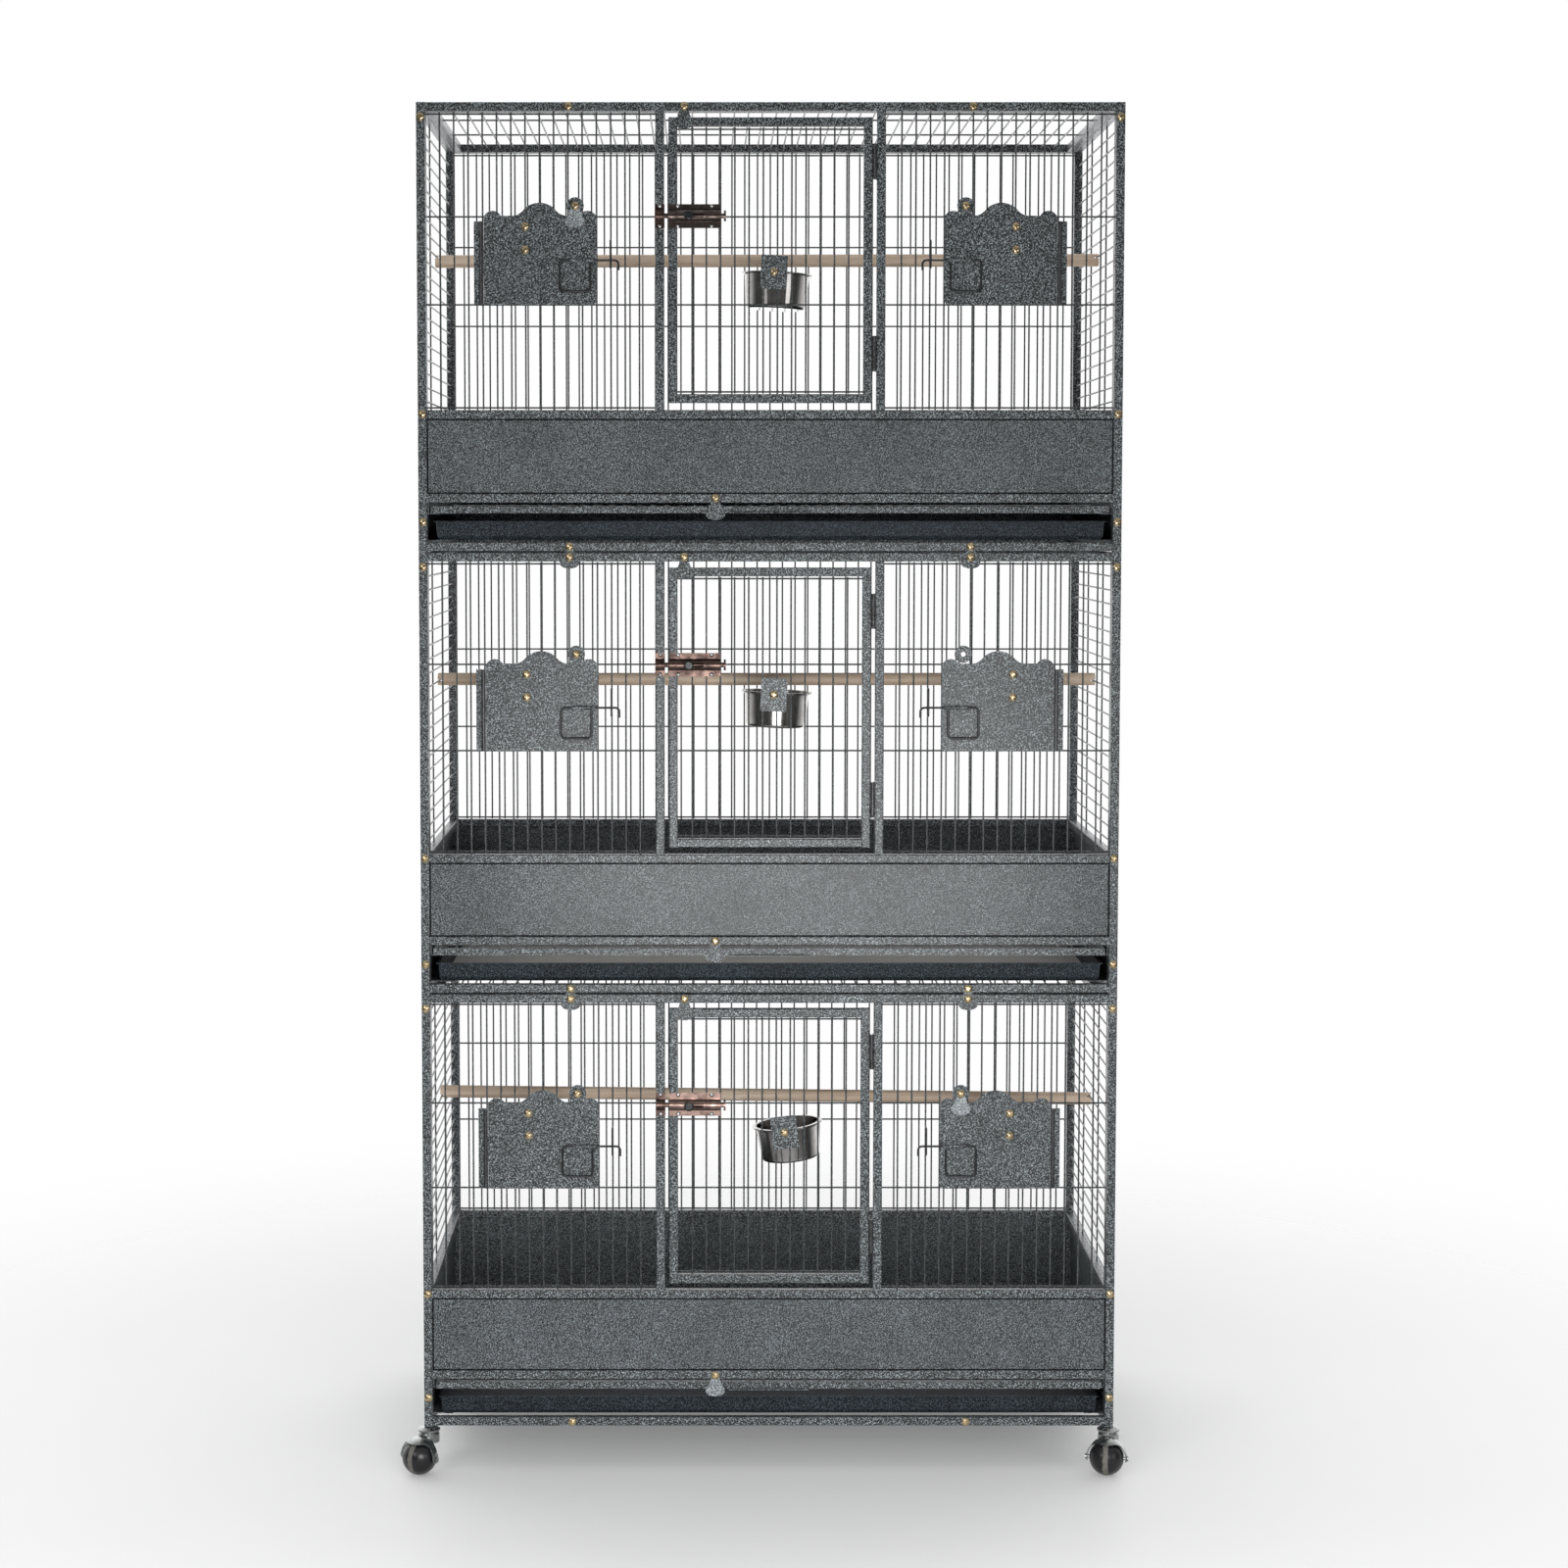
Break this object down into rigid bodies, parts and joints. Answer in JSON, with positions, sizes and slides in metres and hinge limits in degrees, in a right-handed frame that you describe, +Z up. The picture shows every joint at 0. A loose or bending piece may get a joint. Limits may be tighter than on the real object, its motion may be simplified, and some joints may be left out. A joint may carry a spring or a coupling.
{
  "type": "stacked breeding bird cage",
  "caption": "Tall breeding bird cage of stacked wire tiers on ball casters, with hinged front doors, latched feeder flaps, turn tabs, perches, bowls, and slide-out grates and trays.",
  "frame": {"origin": "on the floor under the middle of the cage", "axes": "+Z up, -Y out of the doors, +X to the right seen from the front"},
  "size_m": [1.0862, 0.594, 1.997],
  "materials": {
    "hammered_paint": "hammered dark slate-grey powder coat",
    "tray_paint": "satin dark grey paint",
    "latch_wire": "satin dark grey coating on wire",
    "stainless": "polished spun",
    "copper": "antique copper plating",
    "brass": "worn bright brass",
    "perch_wood": "bare softwood dowel",
    "zinc": "bright zinc plating",
    "wheel_rubber": "matte black with a worn grey band",
    "socket": "moulded black"
  },
  "bodies": {
    "cage": {"front_panel_bottom": "hammered_paint", "front_panel_middle": "hammered_paint", "front_panel_top": "hammered_paint", "back_panels": "hammered_paint", "side_panels": "hammered_paint", "roof_panels": "hammered_paint", "frame_screws": "brass", "stacking_plates": "hammered_paint", "bolt_keepers": "copper", "perches": "perch_wood", "caster_sockets": "socket"},
    "door_bottom": {"door_bottom": "hammered_paint", "bolt_barrel_bottom": "copper", "bowl_bottom": "stainless"},
    "bolt_rod_bottom": {"bolt_rod_bottom": "copper"},
    "feeder_door_left_bottom": {"feeder_door_left_bottom": "hammered_paint"},
    "latch_left_bottom": {"latch_left_bottom": "latch_wire"},
    "flap_tab_left_bottom": {"flap_tab_left_bottom": "hammered_paint"},
    "feeder_door_right_bottom": {"feeder_door_right_bottom": "hammered_paint"},
    "latch_right_bottom": {"latch_right_bottom": "latch_wire"},
    "flap_tab_right_bottom": {"flap_tab_right_bottom": "hammered_paint"},
    "door_tab_bottom": {"door_tab_bottom": "hammered_paint"},
    "tray_tab_bottom": {"tray_tab_bottom": "hammered_paint"},
    "tray_bottom": {"tray_bottom": "tray_paint"},
    "grate_bottom": {"grate_bottom": "hammered_paint"},
    "door_middle": {"door_middle": "hammered_paint", "bolt_barrel_middle": "copper", "bowl_middle": "stainless"},
    "bolt_rod_middle": {"bolt_rod_middle": "copper"},
    "feeder_door_left_middle": {"feeder_door_left_middle": "hammered_paint"},
    "latch_left_middle": {"latch_left_middle": "latch_wire"},
    "flap_tab_left_middle": {"flap_tab_left_middle": "hammered_paint"},
    "feeder_door_right_middle": {"feeder_door_right_middle": "hammered_paint"},
    "latch_right_middle": {"latch_right_middle": "latch_wire"},
    "door_tab_middle": {"door_tab_middle": "hammered_paint"},
    "tray_tab_middle": {"tray_tab_middle": "hammered_paint"},
    "tray_middle": {"tray_middle": "tray_paint"},
    "grate_middle": {"grate_middle": "hammered_paint"},
    "door_top": {"door_top": "hammered_paint", "bolt_barrel_top": "copper", "bowl_top": "stainless"},
    "bolt_rod_top": {"bolt_rod_top": "copper"},
    "feeder_door_left_top": {"feeder_door_left_top": "hammered_paint"},
    "latch_left_top": {"latch_left_top": "latch_wire"},
    "flap_tab_left_top": {"flap_tab_left_top": "hammered_paint"},
    "feeder_door_right_top": {"feeder_door_right_top": "hammered_paint"},
    "latch_right_top": {"latch_right_top": "latch_wire"},
    "flap_tab_right_top": {"flap_tab_right_top": "hammered_paint"},
    "door_tab_top": {"door_tab_top": "hammered_paint"},
    "tray_tab_top": {"tray_tab_top": "hammered_paint"},
    "tray_top": {"tray_top": "tray_paint"},
    "grate_top": {"grate_top": "hammered_paint"},
    "caster_yoke_front_left": {"caster_yoke_front_left": "zinc"},
    "caster_wheel_front_left": {"caster_wheel_front_left": "wheel_rubber"},
    "caster_yoke_front_right": {"caster_yoke_front_right": "zinc"},
    "caster_wheel_front_right": {"caster_wheel_front_right": "wheel_rubber"},
    "caster_yoke_back_right": {"caster_yoke_back_right": "zinc"},
    "caster_wheel_back_right": {"caster_wheel_back_right": "wheel_rubber"},
    "caster_yoke_back_left": {"caster_yoke_back_left": "zinc"},
    "caster_wheel_back_left": {"caster_wheel_back_left": "wheel_rubber"}
  },
  "joints": [
    {"name": "door_bottom_swing", "type": "hinge", "parent": "cage", "child": "door_bottom", "pos_m": [0.14952, -0.2556, 0.484], "axis": [0, 0, 1], "range_deg": [0, 135]},
    {"name": "bolt_bottom_slide", "type": "slide", "parent": "door_bottom", "child": "bolt_rod_bottom", "axis": [1, 0, 0], "range_m": [0, 0.018]},
    {"name": "feeder_door_left_bottom_swing", "type": "hinge", "parent": "cage", "child": "feeder_door_left_bottom", "pos_m": [-0.41546, -0.25305, 0.481], "axis": [0, 0, -1], "range_deg": [0, 135]},
    {"name": "latch_left_bottom_turn", "type": "hinge", "parent": "feeder_door_left_bottom", "child": "latch_left_bottom", "pos_m": [-0.271, -0.25388, 0.4844], "axis": [-1, 0, 0], "range_deg": [0, 170]},
    {"name": "flap_tab_left_bottom_turn", "type": "hinge", "parent": "cage", "child": "flap_tab_left_bottom", "pos_m": [-0.28047, -0.2514, 0.562], "axis": [0, -1, 0], "range_deg": [0, 180]},
    {"name": "feeder_door_right_bottom_swing", "type": "hinge", "parent": "cage", "child": "feeder_door_right_bottom", "pos_m": [0.41546, -0.25305, 0.481], "axis": [0, 0, 1], "range_deg": [0, 135]},
    {"name": "latch_right_bottom_turn", "type": "hinge", "parent": "feeder_door_right_bottom", "child": "latch_right_bottom", "pos_m": [0.271, -0.25388, 0.4844], "axis": [-1, 0, 0], "range_deg": [0, 170]},
    {"name": "flap_tab_right_bottom_turn", "type": "hinge", "parent": "cage", "child": "flap_tab_right_bottom", "pos_m": [0.28047, -0.2514, 0.562], "axis": [0, 1, 0], "range_deg": [0, 180]},
    {"name": "door_tab_bottom_turn", "type": "hinge", "parent": "cage", "child": "door_tab_bottom", "pos_m": [-0.124, -0.2544, 0.70265], "axis": [0, 1, 0], "range_deg": [0, 90]},
    {"name": "tray_tab_bottom_turn", "type": "hinge", "parent": "cage", "child": "tray_tab_bottom", "pos_m": [-0.079, -0.2544, 0.14355], "axis": [0, 1, 0], "range_deg": [0, 180]},
    {"name": "tray_bottom_slide", "type": "slide", "parent": "cage", "child": "tray_bottom", "axis": [0, -1, 0], "range_m": [0, 0.45]},
    {"name": "grate_bottom_slide", "type": "slide", "parent": "cage", "child": "grate_bottom", "axis": [0, -1, 0], "range_m": [0, 0.45]},
    {"name": "door_middle_swing", "type": "hinge", "parent": "cage", "child": "door_middle", "pos_m": [0.14952, -0.2556, 1.128], "axis": [0, 0, 1], "range_deg": [0, 135]},
    {"name": "bolt_middle_slide", "type": "slide", "parent": "door_middle", "child": "bolt_rod_middle", "axis": [1, 0, 0], "range_m": [0, 0.018]},
    {"name": "feeder_door_left_middle_swing", "type": "hinge", "parent": "cage", "child": "feeder_door_left_middle", "pos_m": [-0.41546, -0.25305, 1.125], "axis": [0, 0, -1], "range_deg": [0, 135]},
    {"name": "latch_left_middle_turn", "type": "hinge", "parent": "feeder_door_left_middle", "child": "latch_left_middle", "pos_m": [-0.271, -0.25388, 1.1284], "axis": [-1, 0, 0], "range_deg": [0, 170]},
    {"name": "flap_tab_left_middle_turn", "type": "hinge", "parent": "cage", "child": "flap_tab_left_middle", "pos_m": [-0.28047, -0.2514, 1.206], "axis": [0, -1, 0], "range_deg": [0, 180]},
    {"name": "feeder_door_right_middle_swing", "type": "hinge", "parent": "cage", "child": "feeder_door_right_middle", "pos_m": [0.41546, -0.25305, 1.125], "axis": [0, 0, 1], "range_deg": [0, 135]},
    {"name": "latch_right_middle_turn", "type": "hinge", "parent": "feeder_door_right_middle", "child": "latch_right_middle", "pos_m": [0.271, -0.25388, 1.1284], "axis": [-1, 0, 0], "range_deg": [0, 170]},
    {"name": "door_tab_middle_turn", "type": "hinge", "parent": "cage", "child": "door_tab_middle", "pos_m": [-0.124, -0.2544, 1.34665], "axis": [0, 1, 0], "range_deg": [0, 90]},
    {"name": "tray_tab_middle_turn", "type": "hinge", "parent": "cage", "child": "tray_tab_middle", "pos_m": [-0.079, -0.2544, 0.78755], "axis": [0, 1, 0], "range_deg": [0, 180]},
    {"name": "tray_middle_slide", "type": "slide", "parent": "cage", "child": "tray_middle", "axis": [0, -1, 0], "range_m": [0, 0.45]},
    {"name": "grate_middle_slide", "type": "slide", "parent": "cage", "child": "grate_middle", "axis": [0, -1, 0], "range_m": [0, 0.45]},
    {"name": "door_top_swing", "type": "hinge", "parent": "cage", "child": "door_top", "pos_m": [0.14952, -0.2556, 1.772], "axis": [0, 0, 1], "range_deg": [0, 135]},
    {"name": "bolt_top_slide", "type": "slide", "parent": "door_top", "child": "bolt_rod_top", "axis": [1, 0, 0], "range_m": [0, 0.018]},
    {"name": "feeder_door_left_top_swing", "type": "hinge", "parent": "cage", "child": "feeder_door_left_top", "pos_m": [-0.41546, -0.25305, 1.769], "axis": [0, 0, -1], "range_deg": [0, 135]},
    {"name": "latch_left_top_turn", "type": "hinge", "parent": "feeder_door_left_top", "child": "latch_left_top", "pos_m": [-0.271, -0.25388, 1.7724], "axis": [-1, 0, 0], "range_deg": [0, 170]},
    {"name": "flap_tab_left_top_turn", "type": "hinge", "parent": "cage", "child": "flap_tab_left_top", "pos_m": [-0.28047, -0.2514, 1.85], "axis": [0, -1, 0], "range_deg": [0, 180]},
    {"name": "feeder_door_right_top_swing", "type": "hinge", "parent": "cage", "child": "feeder_door_right_top", "pos_m": [0.41546, -0.25305, 1.769], "axis": [0, 0, 1], "range_deg": [0, 135]},
    {"name": "latch_right_top_turn", "type": "hinge", "parent": "feeder_door_right_top", "child": "latch_right_top", "pos_m": [0.271, -0.25388, 1.7724], "axis": [-1, 0, 0], "range_deg": [0, 170]},
    {"name": "flap_tab_right_top_turn", "type": "hinge", "parent": "cage", "child": "flap_tab_right_top", "pos_m": [0.28047, -0.2514, 1.85], "axis": [0, 1, 0], "range_deg": [0, 180]},
    {"name": "door_tab_top_turn", "type": "hinge", "parent": "cage", "child": "door_tab_top", "pos_m": [-0.124, -0.2544, 1.99065], "axis": [0, 1, 0], "range_deg": [0, 90]},
    {"name": "tray_tab_top_turn", "type": "hinge", "parent": "cage", "child": "tray_tab_top", "pos_m": [-0.079, -0.2544, 1.43155], "axis": [0, 1, 0], "range_deg": [0, 180]},
    {"name": "tray_top_slide", "type": "slide", "parent": "cage", "child": "tray_top", "axis": [0, -1, 0], "range_m": [0, 0.45]},
    {"name": "grate_top_slide", "type": "slide", "parent": "cage", "child": "grate_top", "axis": [0, -1, 0], "range_m": [0, 0.45]},
    {"name": "caster_front_left_swivel", "type": "hinge", "parent": "cage", "child": "caster_yoke_front_left", "pos_m": [-0.50165, -0.24765, 0.065], "axis": [0, 0, 1], "continuous": true},
    {"name": "caster_front_left_roll", "type": "hinge", "parent": "caster_yoke_front_left", "child": "caster_wheel_front_left", "pos_m": [-0.51375, -0.26895, 0.0255], "axis": [0.8695, -0.4939, 0], "continuous": true},
    {"name": "caster_front_right_swivel", "type": "hinge", "parent": "cage", "child": "caster_yoke_front_right", "pos_m": [0.50165, -0.24765, 0.065], "axis": [0, 0, 1], "continuous": true},
    {"name": "caster_front_right_roll", "type": "hinge", "parent": "caster_yoke_front_right", "child": "caster_wheel_front_right", "pos_m": [0.49626, -0.27155, 0.0255], "axis": [0.9755, -0.2198, 0], "continuous": true},
    {"name": "caster_back_right_swivel", "type": "hinge", "parent": "cage", "child": "caster_yoke_back_right", "pos_m": [0.50165, 0.24765, 0.065], "axis": [0, 0, 1], "continuous": true},
    {"name": "caster_back_right_roll", "type": "hinge", "parent": "caster_yoke_back_right", "child": "caster_wheel_back_right", "pos_m": [0.51375, 0.26895, 0.0255], "axis": [-0.8695, 0.4939, 0], "continuous": true},
    {"name": "caster_back_left_swivel", "type": "hinge", "parent": "cage", "child": "caster_yoke_back_left", "pos_m": [-0.50165, 0.24765, 0.065], "axis": [0, 0, 1], "continuous": true},
    {"name": "caster_back_left_roll", "type": "hinge", "parent": "caster_yoke_back_left", "child": "caster_wheel_back_left", "pos_m": [-0.49626, 0.27155, 0.0255], "axis": [-0.9755, 0.2198, 0], "continuous": true}
  ]
}
